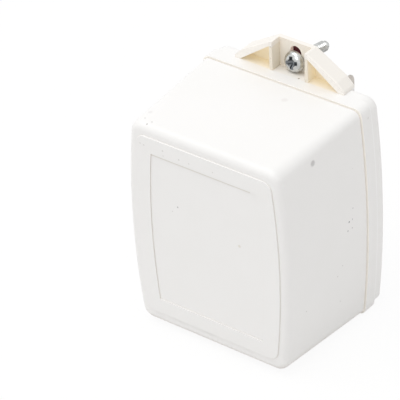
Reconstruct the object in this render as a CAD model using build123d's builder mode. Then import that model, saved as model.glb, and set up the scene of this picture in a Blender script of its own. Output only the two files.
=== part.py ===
"""Plug-in AC transformer in a two-part moulded case, built as an assembly of named pieces.

Millimetres, +Z up. The origin lies on the back face, midway between the plug blades.
+X is to the right seen from the front, and +Y points out of the back toward the wall.
"""
import os
from math import cos, radians, sin, tan
from build123d import *

os.makedirs("parts", exist_ok=True)

# Case, measured over the outside
case_top_z = 12.1
seam_half_w = 30.25
seam_half_h = 36.6
draft_w = 1.2
draft_h = 1.1
seam_bulge = 2.0
front_bulge = 2.58
seam_corner_r = 2.6
front_corner_r = 4.2
front_edge_r = 2.3
front_y = -48.35
seam_y = -9.8
seam_gap = 0.4
case_wall = 2.1
front_wall = 2.3
root_bite = 0.3

# Raised panel and the label field on the front
panel_margin_w = 2.78
panel_margin_h = 3.79
panel_bulge = 2.1
panel_r = 3.4
panel_proud = 0.4
panel_edge_r = 0.2
panel_rise = 0.2
label_margin_w = 5.76
label_margin_h = 5.41
label_bulge = 1.44
label_depth = 0.3

# Rear base
base_proud = 0.4
base_r = 2.5
rear_corner_r = 4.2
base_back_r = 2.7
back_wall = 2.4
band_y = -4.9
band_inset = 0.15
rear_step = 2.9
lip_wall = 1.0
lip_clear = 0.15
lip_len = 2.2
lip_r = 0.9
lip_inner_r = 0.5
land_inset = 1.3
land_r = 1.2

# Ear: the mounting tab on top of the base
ear_half_top = 6.6
ear_half_foot = 19.8
ear_h = 9.7
ear_bend_in = 2.5
ear_bend_z = 3.35
ear_foot_z = 0.9
ear_front_y = -5.65
ear_set_forward = 0.2
ear_plate = 1.55
ear_rib_in = 5.95
ear_rib = 1.0
pocket_tip_in = 1.8
pocket_top_drop = 1.6
ear_root = 3.0
ear_bend_r = 2.0
ear_foot_r = 0.9
slot_w = 4.0
slot_high = 8.35

# Mounting screw, number 6 with 32 threads to the inch, hanging in the slot
screw_droop = 9.0
screw_r = 1.75
screw_neck_r = 1.55
screw_neck = 3.5
screw_len = 16.3
screw_head_r = 3.43
screw_head_h = 2.1
screw_rest_gap = 0.03
screw_slot_drop = 0.43
screw_end_bevel = 0.4
screw_head_round = 1.2
drive_span = 3.6
drive_w = 0.85
drive_depth = 1.1
drive_taper = 12
fibre_r = 4.5
fibre_t = 0.6
fibre_gap = 0.02
fibre_slack = 0.1

# Plug blades
blade_x = 6.35
blade_t = 1.5
blade_w = 6.35
blade_len = 18.2
blade_tip_r = 1.9
blade_hole_r = 1.95
blade_hole_y = 11.9
blade_clear = 0.04
blade_tip_bevel = 0.45
shoulder_w = 8.6
shoulder_t = 1.5
lug_w = 4.6
lug_out = 3.7
lug_r = 0.8
lug_hole_r = 0.6
lug_hole_in = 1.6
lug_clear = 0.2

# Blade retainer, a moulded bar held by two heat-formed studs
pad_past_stud = 2.2
pad_rim = 0.6
retainer_t = 3.0
retainer_rim = 0.2
retainer_r = 1.0
stud_from_blade = 2.75
stud_r = 1.2
stud_clear = 0.1
stud_head_r = 1.9
stud_head_h = 1.0
stud_head_taper = 25

# Laminated core: E and I shapes on one stack, the space round it inside the case
core_to_side = 4.4
core_to_end = 6.0
core_to_front = 10.85
core_to_back = 10.8
core_hole_r = 1.8

# Bobbin, split into two winding bays
bobbin_clear = 0.15
bobbin_wall = 1.0
bobbin_end_clear = 0.15
bobbin_r = 0.8
flange_t = 1.2
flange_r = 2.0
flange_clear = 0.6
flange_to_wall = 2.2
flange_to_retainer = 1.1
flange_rim_y = 1.95
flange_rim_z = 2.25
pin_pad_w = 2.5
pin_pad_z = 3.0
pin_pad_gap = 0.8
pin_pad_d = 5.5
pin_in = 1.2
primary_pin_in = 3.4
inner_pin_in = 1.5
outer_pin_in = 4.2
pin_r = 0.45
pin_len = 5.6
pin_out = 3.0

# Windings and their wraps
winding_r = 5.0
winding_inner_r = 0.6
bay_clear = 0.05
tape_t = 0.3
tape_corner_gap = 0.2

# Core posts and ribs
post_r = 3.25
spigot_r = 1.6
spigot_len = 3.0
rib_t = 1.4
rib_clear = 0.15
rib_bite = 0.2
rib_to_lip = 1.9
side_rib_z = 20.0
end_rib_x = 12.0

# Terminals in the underside
tray_half_w = 17.0
tray_front_y = -17.0
tray_wall = 1.4
tray_to_core = 0.5
tray_ceiling = 2.0
tray_clear = 0.2
pocket_back_wall = 3.6
barrier_t = 1.6
plate_t = 0.8
plate_half_w = 4.9
plate_front_gap = 0.7
plate_rear_gap = 2.0
tab_half_w = 2.0
tab_h = 5.8
tab_clear = 0.05
tab_hole_drop = 1.7
tab_hole_r = 0.7
washer_half = 3.7
washer_t = 1.0
washer_r = 0.6
terminal_head_r = 3.6
terminal_head_h = 2.0
terminal_head_bevel = 0.5
terminal_shank_r = 1.75
terminal_shank_out = 0.7
terminal_shank_bevel = 0.3
thread_clear = 0.02
bore_clear = 0.1
driver_slot_w = 1.1
driver_slot_depth = 0.9

# Thermal fuse on the primary winding
fuse_x = -6.75
fuse_r = 1.8
fuse_len = 9.0
fuse_tip = 1.6
fuse_tip_r = 0.8

# Leads
primary_wire_r = 0.45
secondary_wire_r = 0.55
lead_corner = 0.6
lead_from_lug = 1.9
lead_past_lug = 1.4
fused_lead_drop = 1.9
direct_lead_rise = 1.3
fuse_lead_up = 1.2
lead_touch = 0.02
lead_past_tab = 1.0

body_mid_z = case_top_z - seam_half_h
front_half_w = seam_half_w - draft_w
front_half_h = seam_half_h - draft_h
panel_half_w = front_half_w - panel_margin_w
panel_half_h = front_half_h - panel_margin_h
panel_mid_z = body_mid_z + panel_rise
label_half_w = panel_half_w - label_margin_w
label_half_h = panel_half_h - label_margin_h
base_top_z = case_top_z + base_proud
base_bottom_z = body_mid_z - seam_half_h - base_proud
rear_bottom_z = base_bottom_z + rear_step
base_rim_y = seam_y + seam_gap / 2
case_rim_y = seam_y - seam_gap / 2
lip_front_y = case_rim_y - lip_len
# The core's legs are a sixth of its height and two fifths of its half width, as scrapless sheets are cut
core_half_x = seam_half_w - case_wall - core_to_side
core_half_z = seam_half_h - case_wall - core_to_end
leg_w = core_half_z / 3
yoke_w = core_half_x * 2 / 5
flange_half_z = 2 * leg_w - flange_clear
core_z = -shoulder_w / 2 - retainer_rim - flange_to_retainer - flange_half_z
core_rear_y = -back_wall - core_to_back
core_front_y = front_y + front_wall + core_to_front
stack_h = core_rear_y - core_front_y
core_y = (core_rear_y + core_front_y) / 2
flange_half_y = stack_h / 2 + core_to_back - flange_to_wall
core_hole_x = core_half_x - yoke_w / 2
core_hole_z = core_half_z - leg_w / 2
core_top_z = core_z + core_half_z
core_bottom_z = core_z - core_half_z
tray_top_z = core_bottom_z - tray_to_core
tray_roof_z = tray_top_z - tray_ceiling
tray_bottom_z = body_mid_z - seam_half_h
tray_in_y = tray_front_y + tray_wall
pocket_out_x = tray_half_w - tray_wall
terminal_x = (pocket_out_x + barrier_t / 2) / 2
plate_front_y = tray_in_y + plate_front_gap
plate_rear_y = -pocket_back_wall - plate_rear_gap
terminal_y = (plate_front_y + plate_rear_y) / 2
ear_bend_x = ear_half_foot - ear_bend_in
pocket_tip_x = ear_half_foot - pocket_tip_in
stud_x = blade_x + stud_from_blade
pad_half_w = stud_x + pad_past_stud


def facing_front(y):
    """A drawing plane at this depth, x to the right and its second axis up, facing the front."""
    return Plane(origin=(0, y, 0), x_dir=(1, 0, 0), z_dir=(0, -1, 0))


def bowed(half_w, half_h, bulge, mid_z, corner):
    """The case's outline: straight top and bottom, sides bowed outward, rounded corners."""
    with BuildSketch(mode=Mode.PRIVATE) as outline:
        with BuildLine():
            edge_w = half_w - bulge
            Line((-edge_w, mid_z + half_h), (edge_w, mid_z + half_h))
            ThreePointArc((edge_w, mid_z + half_h), (half_w, mid_z), (edge_w, mid_z - half_h))
            Line((edge_w, mid_z - half_h), (-edge_w, mid_z - half_h))
            ThreePointArc((-edge_w, mid_z - half_h), (-half_w, mid_z), (-edge_w, mid_z + half_h))
        make_face()
        if corner > 0:
            fillet(outline.vertices(), corner)
    return outline.sketch


def bent(points, cut):
    """A wire's path through these points, each corner replaced by a short straight across it."""
    path = [Vector(*points[0])]
    for before, corner, after in zip(points, points[1:], points[2:]):
        turn = Vector(*corner)
        path.append(turn + (Vector(*before) - turn).normalized() * cut)
        path.append(turn + (Vector(*after) - turn).normalized() * cut)
    path.append(Vector(*points[-1]))
    return path


def box_between(x0, x1, y0, y1, z0, z1, mode=Mode.ADD):
    """A block given by its limits on each axis."""
    with Locations(((x0 + x1) / 2, (y0 + y1) / 2, (z0 + z1) / 2)):
        Box(x1 - x0, y1 - y0, z1 - z0, mode=mode)


# Front housing: a deep drafted cup with a raised panel, a label field and core ribs inside
with BuildPart() as front_housing:
    with BuildSketch(facing_front(case_rim_y)):
        add(bowed(seam_half_w, seam_half_h, seam_bulge, body_mid_z, seam_corner_r))
    with BuildSketch(facing_front(front_y)):
        add(bowed(front_half_w, front_half_h, front_bulge, body_mid_z, front_corner_r))
    loft(ruled=True)
    front_rim = front_housing.faces().sort_by(Axis.Y)[0].edges()
    fillet(front_rim, front_edge_r)
    seam_inner_r = seam_corner_r - case_wall
    front_inner_r = front_corner_r - case_wall
    seam_inner_w = seam_half_w - case_wall
    front_inner_w = front_half_w - case_wall
    with BuildSketch(facing_front(case_rim_y)):
        add(bowed(seam_inner_w, seam_half_h - case_wall, seam_bulge, body_mid_z, seam_inner_r))
    with BuildSketch(facing_front(front_y + front_wall)):
        add(bowed(front_inner_w, front_half_h - case_wall, front_bulge, body_mid_z, front_inner_r))
    loft(ruled=True, mode=Mode.SUBTRACT)
    with BuildSketch(facing_front(front_y)):
        add(bowed(panel_half_w, panel_half_h, panel_bulge, panel_mid_z, panel_r))
    extrude(amount=panel_proud)
    panel_rim = front_housing.faces().sort_by(Axis.Y)[0].edges()
    fillet(panel_rim, panel_edge_r)
    with BuildSketch(facing_front(front_y - panel_proud)):
        add(bowed(label_half_w, label_half_h, label_bulge, panel_mid_z, 0))
    extrude(amount=-label_depth, mode=Mode.SUBTRACT)
    # Posts that bear on the core's front face
    with BuildSketch(facing_front(core_front_y)):
        with Locations((-core_hole_x, core_z), (core_hole_x, core_z)):
            with GridLocations(0, 2 * core_hole_z, 1, 2):
                Circle(post_r)
    extrude(amount=core_front_y - front_y - front_wall + root_bite)
    # Ribs beside the core
    rib_y0 = front_y + front_wall - root_bite
    rib_y1 = lip_front_y - rib_to_lip
    rib_end_z = seam_half_h - case_wall + rib_bite
    rib_out_x = seam_inner_w - front_bulge / 3
    for side in (-1, 1):
        rib_x = sorted((side * (core_half_x + rib_clear), side * rib_out_x))
        for rib_z in (core_z - side_rib_z, core_z + side_rib_z):
            box_between(rib_x[0], rib_x[1], rib_y0, rib_y1, rib_z - rib_t / 2, rib_z + rib_t / 2)
        x0 = side * end_rib_x - rib_t / 2
        x1 = side * end_rib_x + rib_t / 2
        box_between(x0, x1, rib_y0, rib_y1, core_top_z + rib_clear, body_mid_z + rib_end_z)
        low_rib_y1 = tray_front_y - tray_clear - rib_clear
        box_between(x0, x1, rib_y0, low_rib_y1, body_mid_z - rib_end_z, core_bottom_z - rib_clear)
    # Notch in the underside for the terminal tray
    notch_w = tray_half_w + tray_clear
    notch_y = tray_front_y - tray_clear
    below_z = base_bottom_z - tray_ceiling
    box_between(-notch_w, notch_w, notch_y, 0, below_z, tray_top_z, mode=Mode.SUBTRACT)
front_housing.part.label = "front_housing"
export_step(front_housing.part, "parts/front_housing.step")

# Rear base: two stepped bands, back wall, locating lip, core posts, terminal tray and the ear
ear_back_y = -ear_set_forward
ear_recess_y = ear_back_y - ear_plate
base_half_w = seam_half_w + base_proud
base_half_h = seam_half_h + base_proud
lip_half_w = seam_half_w - case_wall - lip_clear
lip_half_h = seam_half_h - case_wall - lip_clear
with BuildPart() as rear_base:
    # Rear band with its rounded back edge, its bottom set higher than the front band's
    with BuildSketch(facing_front(0)) as rear_outline:
        add(bowed(base_half_w - band_inset, base_half_h, seam_bulge, body_mid_z, 0))
        with Locations((0, rear_bottom_z)):
            top_middle = (Align.CENTER, Align.MAX)
            Rectangle(3 * seam_half_w, seam_half_h, align=top_middle, mode=Mode.SUBTRACT)
        top_corners = rear_outline.vertices().group_by(Axis.Y)[-1]
        fillet(top_corners, rear_corner_r)
    extrude(amount=-band_y)
    back_rim = rear_base.faces().sort_by(Axis.Y)[-1].edges()
    fillet(back_rim, base_back_r)
    # Front band
    with BuildSketch(facing_front(band_y)):
        add(bowed(base_half_w, base_half_h, seam_bulge, body_mid_z, base_r))
    extrude(amount=band_y - base_rim_y)
    # Land the housing stands on, and the lip inside the housing's wall
    with BuildSketch(facing_front(base_rim_y)):
        add(bowed(base_half_w - land_inset, base_half_h - land_inset, seam_bulge, body_mid_z, land_r))
    extrude(amount=seam_gap)
    with BuildSketch(facing_front(case_rim_y)):
        add(bowed(lip_half_w, lip_half_h, seam_bulge, body_mid_z, lip_r))
    extrude(amount=case_rim_y - lip_front_y)
    # Hollow inside
    with BuildSketch(facing_front(lip_front_y)):
        add(bowed(lip_half_w - lip_wall, lip_half_h - lip_wall, seam_bulge, body_mid_z, lip_inner_r))
    extrude(amount=lip_front_y + back_wall, mode=Mode.SUBTRACT)
    # Terminal tray
    box_between(-tray_half_w, tray_half_w, tray_front_y, -back_wall, tray_bottom_z, tray_top_z)
    for side in (-1, 1):
        x0, x1 = sorted((side * barrier_t / 2, side * pocket_out_x))
        box_between(x0, x1, tray_in_y, -pocket_back_wall, below_z, tray_roof_z, mode=Mode.SUBTRACT)
    with BuildSketch(Plane.XY.offset(tray_roof_z)):
        with Locations((-terminal_x, terminal_y), (terminal_x, terminal_y)):
            Circle(terminal_shank_r + bore_clear)
        with Locations((-terminal_x, plate_rear_y + plate_t / 2), (terminal_x, plate_rear_y + plate_t / 2)):
            Rectangle(2 * (tab_half_w + tab_clear), plate_t + 2 * tab_clear)
    extrude(amount=tray_ceiling, mode=Mode.SUBTRACT)
    # Core posts with spigots that enter the holes in the laminations
    with BuildSketch(facing_front(-back_wall + root_bite)):
        with Locations((-core_hole_x, core_z), (core_hole_x, core_z)):
            with GridLocations(0, 2 * core_hole_z, 1, 2):
                Circle(post_r)
    extrude(amount=-core_rear_y - back_wall + root_bite)
    with BuildSketch(facing_front(core_rear_y)):
        with Locations((-core_hole_x, core_z), (core_hole_x, core_z)):
            with GridLocations(0, 2 * core_hole_z, 1, 2):
                Circle(spigot_r)
    extrude(amount=spigot_len)
    # Pad round the blades, with a pocket for each blade's shoulder
    stud_y = -back_wall - shoulder_t
    pad_z = shoulder_w / 2 + pad_rim
    box_between(-pad_half_w, pad_half_w, stud_y, -back_wall + root_bite, -pad_z, pad_z)
    with BuildSketch(facing_front(-back_wall)):
        with Locations((-blade_x, 0), (blade_x, 0)):
            Rectangle(blade_t + 2 * blade_clear, shoulder_w + 2 * blade_clear)
    extrude(amount=shoulder_t, mode=Mode.SUBTRACT)
    with BuildSketch(facing_front(0)):
        with Locations((-blade_x, 0), (blade_x, 0)):
            Rectangle(blade_t + 2 * blade_clear, blade_w + 2 * blade_clear)
    extrude(amount=back_wall, mode=Mode.SUBTRACT)
    # Studs for the retainer, their heads formed over it
    with BuildSketch(facing_front(stud_y)):
        with Locations((-stud_x, 0), (stud_x, 0)):
            Circle(stud_r)
    extrude(amount=retainer_t)
    with BuildSketch(facing_front(stud_y - retainer_t)):
        with Locations((-stud_x, 0), (stud_x, 0)):
            Circle(stud_head_r)
    extrude(amount=stud_head_h, taper=stud_head_taper)
    # Ear: sloped outline first, then the open recess and the two pockets cut from the front
    ear_depth = ear_back_y - ear_front_y
    with BuildSketch(facing_front(ear_back_y)) as ear_outline:
        with BuildLine():
            Polyline(
                (-ear_half_foot, base_top_z - ear_root),
                (-ear_half_foot, base_top_z + ear_foot_z),
                (-ear_bend_x, base_top_z + ear_bend_z),
                (-ear_half_top, base_top_z + ear_h),
                (ear_half_top, base_top_z + ear_h),
                (ear_bend_x, base_top_z + ear_bend_z),
                (ear_half_foot, base_top_z + ear_foot_z),
                (ear_half_foot, base_top_z - ear_root),
                close=True,
            )
        make_face()
        bends = [v for v in ear_outline.vertices() if abs(abs(v.X) - ear_bend_x) < 0.01]
        fillet(bends, ear_bend_r)
        feet = [v for v in ear_outline.vertices() if abs(v.X) > ear_half_foot - 0.01 and v.Y > base_top_z]
        fillet(feet, ear_foot_r)
    extrude(amount=ear_depth)
    recess_depth = ear_recess_y - ear_front_y
    with BuildSketch(facing_front(ear_recess_y)) as ear_openings:
        with Locations((0, base_top_z + ear_h)):
            Rectangle(2 * ear_rib_in, 2 * ear_h)
        for side in (-1, 1):
            rib_out = side * (ear_rib_in + ear_rib)
            with BuildLine():
                Polyline(
                    (rib_out, base_top_z),
                    (side * pocket_tip_x, base_top_z),
                    (rib_out, base_top_z + ear_h - pocket_top_drop),
                    close=True,
                )
            make_face()
    extrude(amount=2 * recess_depth, mode=Mode.SUBTRACT)
    slot_low = screw_head_r - screw_neck_r - screw_slot_drop
    with BuildSketch(facing_front(ear_back_y)):
        with Locations((0, base_top_z + (slot_low + slot_high) / 2)):
            SlotOverall(slot_high - slot_low, slot_w, rotation=90)
    extrude(amount=ear_plate, mode=Mode.SUBTRACT)
rear_base.part.label = "rear_base"
export_step(rear_base.part, "parts/rear_base.step")

# Mounting screw: hangs in the slot, its head's upper rim against the plate, its lower rim on the base
droop = radians(screw_droop)
head_y = ear_recess_y - screw_head_r * sin(droop) - screw_rest_gap
head_z = base_top_z + screw_head_r * cos(droop) + screw_rest_gap
screw_plane = Plane(origin=(0, head_y, head_z), x_dir=(1, 0, 0), z_dir=(0, cos(droop), -sin(droop)))
with BuildPart() as mounting_screw:
    with BuildSketch(screw_plane):
        Circle(screw_neck_r)
    extrude(amount=screw_neck)
    with BuildSketch(screw_plane.offset(screw_neck)):
        Circle(screw_r)
    extrude(amount=screw_len - screw_neck)
    thread_end = mounting_screw.faces().sort_by(Axis.Y)[-1].edges()
    chamfer(thread_end, screw_end_bevel)
    with BuildSketch(screw_plane):
        Circle(screw_head_r)
    extrude(amount=-screw_head_h)
    head_rim = mounting_screw.faces().sort_by(Axis.Y)[0].edges()
    fillet(head_rim, screw_head_round)
    with BuildSketch(screw_plane.offset(-screw_head_h)):
        Rectangle(drive_span, drive_w)
        Rectangle(drive_w, drive_span)
    extrude(amount=drive_depth, taper=drive_taper, mode=Mode.SUBTRACT)
mounting_screw.part.label = "mounting_screw"
export_step(mounting_screw.part, "parts/mounting_screw.step")

# Retaining washer: punched fibre disc pushed over the thread onto the neck, upright behind the ear
fibre_z = head_z - (fibre_gap + fibre_t / 2 - head_y) * tan(droop)
with BuildPart() as screw_retaining_washer:
    with BuildSketch(facing_front(fibre_gap + fibre_t)):
        with Locations((0, fibre_z)):
            Circle(fibre_r)
            Circle(screw_neck_r + fibre_slack, mode=Mode.SUBTRACT)
    extrude(amount=fibre_t)
screw_retaining_washer.part.label = "screw_retaining_washer"
export_step(screw_retaining_washer.part, "parts/screw_retaining_washer.step")

# Plug blades: stamped strip with a shoulder behind the wall and a solder lug inside
retainer_front_y = stud_y - retainer_t
lug_end_y = retainer_front_y - lug_out
lug_hole_y = lug_end_y + lug_hole_in
for side, blade_name in ((-1, "plug_blade_left"), (1, "plug_blade_right")):
    with BuildPart() as plug_blade:
        x0 = side * blade_x - blade_t / 2
        x1 = side * blade_x + blade_t / 2
        box_between(x0, x1, -back_wall, blade_len, -blade_w / 2, blade_w / 2)
        tip_edges = plug_blade.edges().filter_by(Axis.X).group_by(Axis.Y)[-1]
        fillet(tip_edges, blade_tip_r)
        tip_sides = plug_blade.edges().filter_by(Axis.Z).group_by(Axis.Y)[-1]
        chamfer(tip_sides, blade_tip_bevel)
        box_between(x0, x1, stud_y, -back_wall, -shoulder_w / 2, shoulder_w / 2)
        box_between(x0, x1, lug_end_y, stud_y, -lug_w / 2, lug_w / 2)
        lug_edges = plug_blade.edges().filter_by(Axis.X).group_by(Axis.Y)[0]
        fillet(lug_edges, lug_r)
        with BuildSketch(Plane.YZ.offset(x0)):
            with Locations((blade_hole_y, 0)):
                Circle(blade_hole_r)
            with Locations((lug_hole_y, 0)):
                Circle(lug_hole_r)
        extrude(amount=blade_t, mode=Mode.SUBTRACT)
    plug_blade.part.label = blade_name
    export_step(plug_blade.part, "parts/" + blade_name + ".step")

# Blade retainer: bar that keeps both shoulders against the back wall
with BuildPart() as blade_retainer:
    with BuildSketch(facing_front(stud_y)):
        RectangleRounded(2 * pad_half_w, shoulder_w + 2 * retainer_rim, retainer_r)
        with Locations((-stud_x, 0), (stud_x, 0)):
            Circle(stud_r + stud_clear, mode=Mode.SUBTRACT)
        with Locations((-blade_x, 0), (blade_x, 0)):
            Rectangle(blade_t + 2 * lug_clear, lug_w + 2 * lug_clear, mode=Mode.SUBTRACT)
    extrude(amount=retainer_t)
blade_retainer.part.label = "blade_retainer"
export_step(blade_retainer.part, "parts/blade_retainer.step")

# Core: E laminations stacked along Y, their legs reaching to the I laminations on the right
with BuildPart() as e_lamination_stack:
    with BuildSketch(facing_front(core_rear_y)):
        e_right = core_half_x - yoke_w
        with Locations(((e_right - core_half_x) / 2, core_z)):
            Rectangle(core_half_x + e_right, 2 * core_half_z)
        window_x = (-core_half_x + yoke_w + e_right) / 2
        with Locations((window_x, core_z + 1.5 * leg_w), (window_x, core_z - 1.5 * leg_w)):
            Rectangle(e_right + core_half_x - yoke_w, leg_w, mode=Mode.SUBTRACT)
        with Locations((-core_hole_x, core_z + core_hole_z), (-core_hole_x, core_z - core_hole_z)):
            Circle(core_hole_r, mode=Mode.SUBTRACT)
    extrude(amount=stack_h)
e_lamination_stack.part.label = "e_lamination_stack"
export_step(e_lamination_stack.part, "parts/e_lamination_stack.step")

with BuildPart() as i_lamination_stack:
    with BuildSketch(facing_front(core_rear_y)):
        with Locations((core_half_x - yoke_w / 2, core_z)):
            Rectangle(yoke_w, 2 * core_half_z)
        with Locations((core_hole_x, core_z + core_hole_z), (core_hole_x, core_z - core_hole_z)):
            Circle(core_hole_r, mode=Mode.SUBTRACT)
    extrude(amount=stack_h)
i_lamination_stack.part.label = "i_lamination_stack"
export_step(i_lamination_stack.part, "parts/i_lamination_stack.step")

# Bobbin: square tube over the centre leg, three flanges, pin pads behind the core
tube_half_y = stack_h / 2 + bobbin_clear
tube_half_z = leg_w + bobbin_clear
tube_out_y = tube_half_y + bobbin_wall
tube_out_z = tube_half_z + bobbin_wall
bobbin_half_x = core_half_x - yoke_w - bobbin_end_clear
flange_top_z = core_z + flange_half_z
flange_low_z = core_z - flange_half_z
pin_pad_y0 = core_rear_y + pin_pad_gap
pin_pad_y1 = pin_pad_y0 + pin_pad_d
pin_x = bobbin_half_x - flange_t + pin_in
primary_pin_y = pin_pad_y0 + primary_pin_in
inner_pin_y = pin_pad_y0 + inner_pin_in
outer_pin_y = pin_pad_y0 + outer_pin_in
with BuildPart() as bobbin:
    with BuildSketch(Plane.YZ.offset(-bobbin_half_x)):
        with Locations((core_y, core_z)):
            RectangleRounded(2 * tube_out_y, 2 * tube_out_z, bobbin_r)
    extrude(amount=2 * bobbin_half_x)
    for flange_x in (-bobbin_half_x, -flange_t / 2, bobbin_half_x - flange_t):
        with BuildSketch(Plane.YZ.offset(flange_x)):
            with Locations((core_y, core_z)):
                RectangleRounded(2 * flange_half_y, 2 * flange_half_z, flange_r)
        extrude(amount=flange_t)
    for side in (-1, 1):
        pad_x = sorted((side * (bobbin_half_x - flange_t), side * (bobbin_half_x - flange_t + pin_pad_w)))
        for pad_z in ((flange_top_z - pin_pad_z, flange_top_z), (flange_low_z, flange_low_z + pin_pad_z)):
            box_between(pad_x[0], pad_x[1], pin_pad_y0, pin_pad_y1, pad_z[0], pad_z[1])
    with BuildSketch(Plane.YZ.offset(-bobbin_half_x)):
        with Locations((core_y, core_z)):
            Rectangle(2 * tube_half_y, 2 * tube_half_z)
    extrude(amount=2 * bobbin_half_x, mode=Mode.SUBTRACT)
    # Bores the pins are pressed into
    with BuildSketch(Plane.XY.offset(flange_low_z)):
        with Locations((-pin_x, primary_pin_y), (pin_x, inner_pin_y), (pin_x, outer_pin_y)):
            Circle(pin_r)
    extrude(amount=pin_len - pin_out, mode=Mode.SUBTRACT)
    with BuildSketch(Plane.XY.offset(flange_top_z)):
        with Locations((-pin_x, primary_pin_y)):
            Circle(pin_r)
    extrude(amount=pin_out - pin_len, mode=Mode.SUBTRACT)
bobbin.part.label = "bobbin"
export_step(bobbin.part, "parts/bobbin.step")

# Pins: tinned posts the windings and leads are soldered to
pin_top_z = flange_top_z + pin_out
pin_low_z = flange_low_z - pin_out
pin_places = (
    ("primary_pin_upper", -pin_x, primary_pin_y, pin_top_z - pin_len),
    ("primary_pin_lower", -pin_x, primary_pin_y, pin_low_z),
    ("secondary_pin_inner", pin_x, inner_pin_y, pin_low_z),
    ("secondary_pin_outer", pin_x, outer_pin_y, pin_low_z),
)
for pin_name, place_x, place_y, place_z in pin_places:
    with BuildPart() as pin:
        with BuildSketch(Plane.XY.offset(place_z)):
            with Locations((place_x, place_y)):
                Circle(pin_r)
        extrude(amount=pin_len)
    pin.part.label = pin_name
    export_step(pin.part, "parts/" + pin_name + ".step")

# Windings fill the two bays; each is closed by a wrap of tape
bay_x0 = flange_t / 2 + bay_clear
bay_x1 = bobbin_half_x - flange_t - bay_clear
wound_y = flange_half_y - flange_rim_y - tape_t
wound_z = flange_half_z - flange_rim_z - tape_t
for start_x, winding_name, tape_name in (
    (-bay_x1, "primary_winding", "primary_tape"),
    (bay_x0, "secondary_winding", "secondary_tape"),
):
    with BuildPart() as winding:
        with BuildSketch(Plane.YZ.offset(start_x)):
            with Locations((core_y, core_z)):
                RectangleRounded(2 * wound_y, 2 * wound_z, winding_r)
                RectangleRounded(2 * tube_out_y, 2 * tube_out_z, winding_inner_r, mode=Mode.SUBTRACT)
        extrude(amount=bay_x1 - bay_x0)
    winding.part.label = winding_name
    export_step(winding.part, "parts/" + winding_name + ".step")
    with BuildPart() as tape:
        with BuildSketch(Plane.YZ.offset(start_x)):
            with Locations((core_y, core_z)):
                RectangleRounded(2 * (wound_y + tape_t), 2 * (wound_z + tape_t), winding_r + tape_t)
                tape_inner_r = winding_r - tape_corner_gap
                RectangleRounded(2 * wound_y, 2 * wound_z, tape_inner_r, mode=Mode.SUBTRACT)
        extrude(amount=bay_x1 - bay_x0)
    tape.part.label = tape_name
    export_step(tape.part, "parts/" + tape_name + ".step")

# Thermal fuse: metal case with a sealed conical end, lying on the primary winding's rear face
fuse_y = core_y + wound_y + tape_t + fuse_r
fuse_z0 = core_z - (fuse_len + fuse_tip) / 2
with BuildPart() as thermal_fuse:
    with BuildSketch(Plane.XY.offset(fuse_z0)):
        with Locations((fuse_x, fuse_y)):
            Circle(fuse_r)
    extrude(amount=fuse_len)
    with BuildSketch(Plane.XY.offset(fuse_z0 + fuse_len)):
        with Locations((fuse_x, fuse_y)):
            Circle(fuse_r)
    with BuildSketch(Plane.XY.offset(fuse_z0 + fuse_len + fuse_tip)):
        with Locations((fuse_x, fuse_y)):
            Circle(fuse_tip_r)
    loft()
thermal_fuse.part.label = "thermal_fuse"
export_step(thermal_fuse.part, "parts/thermal_fuse.step")
fuse_top_z = fuse_z0 + fuse_len + fuse_tip

# Leads: insulated wires, bent round corners and hooked through the lugs and tabs
lead_x = blade_x + lead_from_lug
lug_far_x = blade_x - lead_past_lug
fused_z = -shoulder_w / 2 - fused_lead_drop
direct_z = shoulder_w / 2 + direct_lead_rise
fuse_lead_z = pin_low_z + fuse_lead_up
from_pin_x = fuse_x + pin_x
from_pin_y = fuse_y - primary_pin_y
pin_touch = (pin_r + lead_touch) / (from_pin_x**2 + from_pin_y**2) ** 0.5
fuse_end = (-pin_x + from_pin_x * pin_touch, primary_pin_y + from_pin_y * pin_touch, fuse_lead_z)
tab_top_z = tray_top_z + tab_h
tab_hole_z = tab_top_z - tab_hole_drop
tab_y1 = plate_rear_y + plate_t
tab_end_y = tab_y1 + lead_past_tab
lead_runs = (
    (
        "primary_lead_fused",
        primary_wire_r,
        (
            (fuse_x, fuse_y, fuse_top_z),
            (fuse_x, fuse_y, fused_z),
            (-lead_x, lug_hole_y, fused_z),
            (-lead_x, lug_hole_y, 0),
            (-lug_far_x, lug_hole_y, 0),
        ),
    ),
    (
        "fuse_lead",
        primary_wire_r,
        (
            (fuse_x, fuse_y, fuse_z0),
            (fuse_x, fuse_y, fuse_lead_z),
            fuse_end,
        ),
    ),
    (
        "primary_lead_direct",
        primary_wire_r,
        (
            (lug_far_x, lug_hole_y, 0),
            (lead_x, lug_hole_y, 0),
            (lead_x, lug_hole_y, direct_z),
            (-pin_x, primary_pin_y, direct_z),
            (-pin_x, primary_pin_y, pin_top_z),
        ),
    ),
    (
        "secondary_lead_right",
        secondary_wire_r,
        (
            (pin_x, outer_pin_y, pin_low_z),
            (pin_x, outer_pin_y, tab_hole_z),
            (terminal_x, outer_pin_y, tab_hole_z),
            (terminal_x, tab_end_y, tab_hole_z),
        ),
    ),
    (
        "secondary_lead_left",
        secondary_wire_r,
        (
            (pin_x, inner_pin_y, pin_low_z),
            (pin_x, inner_pin_y, tab_hole_z),
            (-terminal_x, inner_pin_y, tab_hole_z),
            (-terminal_x, tab_end_y, tab_hole_z),
        ),
    ),
)
for lead_name, wire_r, run in lead_runs:
    with BuildPart() as lead:
        with BuildLine() as path:
            Polyline(*bent(run, lead_corner))
        with BuildSketch(Plane(origin=path.wires()[0] @ 0, z_dir=path.wires()[0] % 0)):
            Circle(wire_r)
        sweep(path=path.wires()[0], transition=Transition.RIGHT)
    lead.part.label = lead_name
    export_step(lead.part, "parts/" + lead_name + ".step")

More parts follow.
